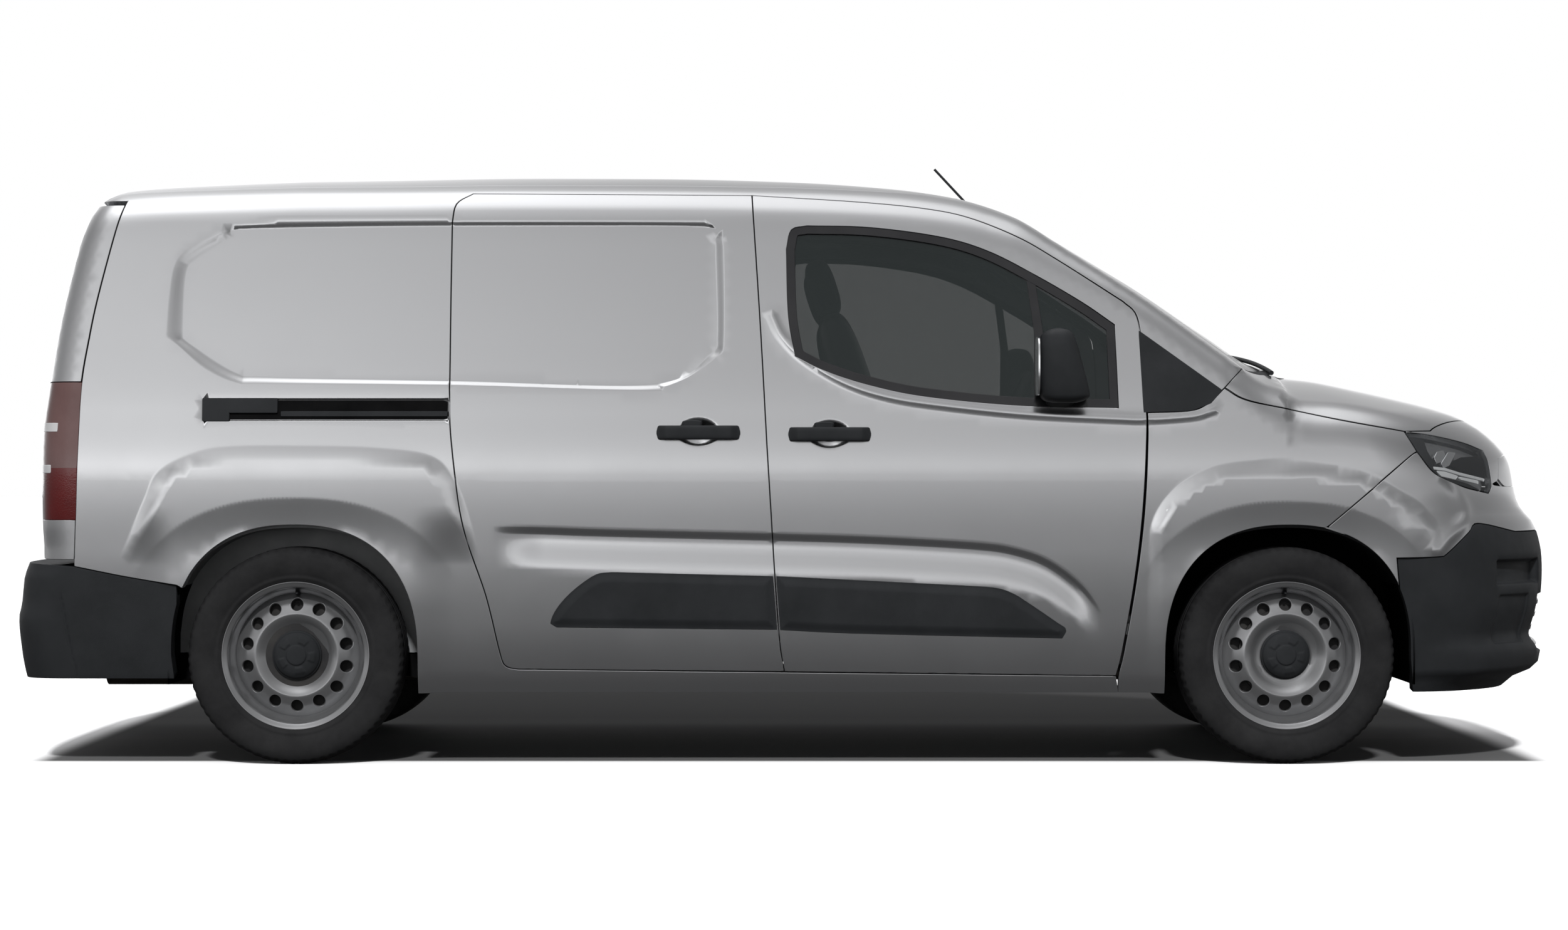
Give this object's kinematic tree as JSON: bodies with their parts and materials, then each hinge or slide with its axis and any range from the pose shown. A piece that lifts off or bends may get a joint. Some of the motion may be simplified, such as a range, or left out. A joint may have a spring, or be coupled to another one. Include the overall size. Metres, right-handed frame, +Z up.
{
  "type": "panel van",
  "caption": "Long-wheelbase panel van with hinged cab doors, bonnet and rear doors, fixed sliding side doors, steered front wheels and an open load space behind the seats.",
  "frame": {"origin": "on the ground under the middle of the van, half way between its ends and between its sides", "axes": "+X towards the nose, +Y to the van's left, +Z up"},
  "size_m": [4.75, 2.106, 1.8574],
  "materials": {
    "paint": "silver grey metallic gloss",
    "floor_paint": "satin primer grey",
    "dark_plastic": "fine grained, matte",
    "cab_plastic": "grained, matte",
    "glass": "tinted, clear",
    "head_lens": "clear lens over a bright housing",
    "tail_lens": "red lens with clear bands",
    "tyre": "matte black rubber",
    "wheel_paint": "silver wheel enamel",
    "cast": "black coated",
    "engine_metal": "rough cast",
    "steel": "dull, heat stained",
    "cloth": "dark woven seat cloth"
  },
  "bodies": {
    "root": {"side_right": "paint", "side_left": "paint", "sliding_doors": "paint", "fenders": "paint", "rear_corners": "paint", "roof": "paint", "nose_panel": "paint", "windscreen": "glass", "tail_lamps": "tail_lens", "headlamps": "head_lens", "cowl": "dark_plastic", "grille": "dark_plastic", "front_bumper": "dark_plastic", "rear_bumper": "dark_plastic", "slide_trim": "dark_plastic", "wipers": "dark_plastic", "antenna": "dark_plastic", "front_liners": "dark_plastic", "underbody": "floor_paint", "bulkhead": "floor_paint", "firewall": "floor_paint", "seats": "cloth", "dashboard": "cab_plastic", "rear_axle": "cast", "front_frame": "cast", "engine_block": "engine_metal", "fuel_tank": "cab_plastic", "exhaust": "steel"},
    "door_right": {"front_door_right": "paint", "door_glass_right": "glass", "front_trim_right": "dark_plastic", "mirror_right": "dark_plastic"},
    "door_left": {"front_door_left": "paint", "door_glass_left": "glass", "front_trim_left": "dark_plastic", "mirror_left": "dark_plastic"},
    "bonnet_lid": {"bonnet": "paint"},
    "back_door_right": {"rear_door_right": "paint"},
    "back_door_left": {"rear_door_left": "paint"},
    "upright_right": {"knuckle_right": "cast"},
    "upright_left": {"knuckle_left": "cast"},
    "helm": {"steering_wheel": "cab_plastic"},
    "wheel_front_right": {"rim_front_right": "wheel_paint", "tyre_front_right": "tyre"},
    "wheel_front_left": {"rim_front_left": "wheel_paint", "tyre_front_left": "tyre"},
    "wheel_rear_right": {"rim_rear_right": "wheel_paint", "tyre_rear_right": "tyre"},
    "wheel_rear_left": {"rim_rear_left": "wheel_paint", "tyre_rear_left": "tyre"}
  },
  "joints": [
    {"name": "steer_right", "type": "hinge", "parent": "root", "child": "upright_right", "pos_m": [1.4845, -0.7005, 0.326], "axis": [0, 0, 1], "range_deg": [-35, 35]},
    {"name": "steer_left", "type": "hinge", "parent": "root", "child": "upright_left", "pos_m": [1.4845, 0.7005, 0.326], "axis": [0, 0, 1], "range_deg": [-35, 35]},
    {"name": "helm_turn", "type": "hinge", "parent": "root", "child": "helm", "pos_m": [0.7, 0.35, 1.035], "axis": [-0.8829, 0, 0.4695], "range_deg": [-530, 530]},
    {"name": "door_right_swing", "type": "hinge", "parent": "root", "child": "door_right", "pos_m": [1.01656, -0.87568, 0.9], "axis": [0.0872, 0, 0.9962], "range_deg": [0, 68]},
    {"name": "door_left_swing", "type": "hinge", "parent": "root", "child": "door_left", "pos_m": [1.01656, 0.87568, 0.9], "axis": [-0.0872, 0, -0.9962], "range_deg": [0, 68]},
    {"name": "back_door_right_swing", "type": "hinge", "parent": "root", "child": "back_door_right", "pos_m": [-2.11168, -0.88696, 1.1], "axis": [0, 0, 1], "range_deg": [0, 90]},
    {"name": "back_door_left_swing", "type": "hinge", "parent": "root", "child": "back_door_left", "pos_m": [-2.11168, 0.88696, 1.1], "axis": [0, 0, -1], "range_deg": [0, 90]},
    {"name": "bonnet_lift", "type": "hinge", "parent": "root", "child": "bonnet_lid", "pos_m": [1.44, 0, 1.31], "axis": [0, -1, 0], "range_deg": [0, 55]},
    {"name": "roll_front_right", "type": "hinge", "parent": "upright_right", "child": "wheel_front_right", "pos_m": [1.4845, -0.7765, 0.326], "axis": [0, 1, 0], "continuous": true},
    {"name": "roll_front_left", "type": "hinge", "parent": "upright_left", "child": "wheel_front_left", "pos_m": [1.4845, 0.7765, 0.326], "axis": [0, 1, 0], "continuous": true},
    {"name": "roll_rear_right", "type": "hinge", "parent": "root", "child": "wheel_rear_right", "pos_m": [-1.4905, -0.784, 0.326], "axis": [0, 1, 0], "continuous": true},
    {"name": "roll_rear_left", "type": "hinge", "parent": "root", "child": "wheel_rear_left", "pos_m": [-1.4905, 0.784, 0.326], "axis": [0, 1, 0], "continuous": true}
  ],
  "couplings": [
    {"joint": "steer_left", "follows": "steer_right", "ratio": 1},
    {"joint": "helm_turn", "follows": "steer_right", "ratio": 15}
  ]
}
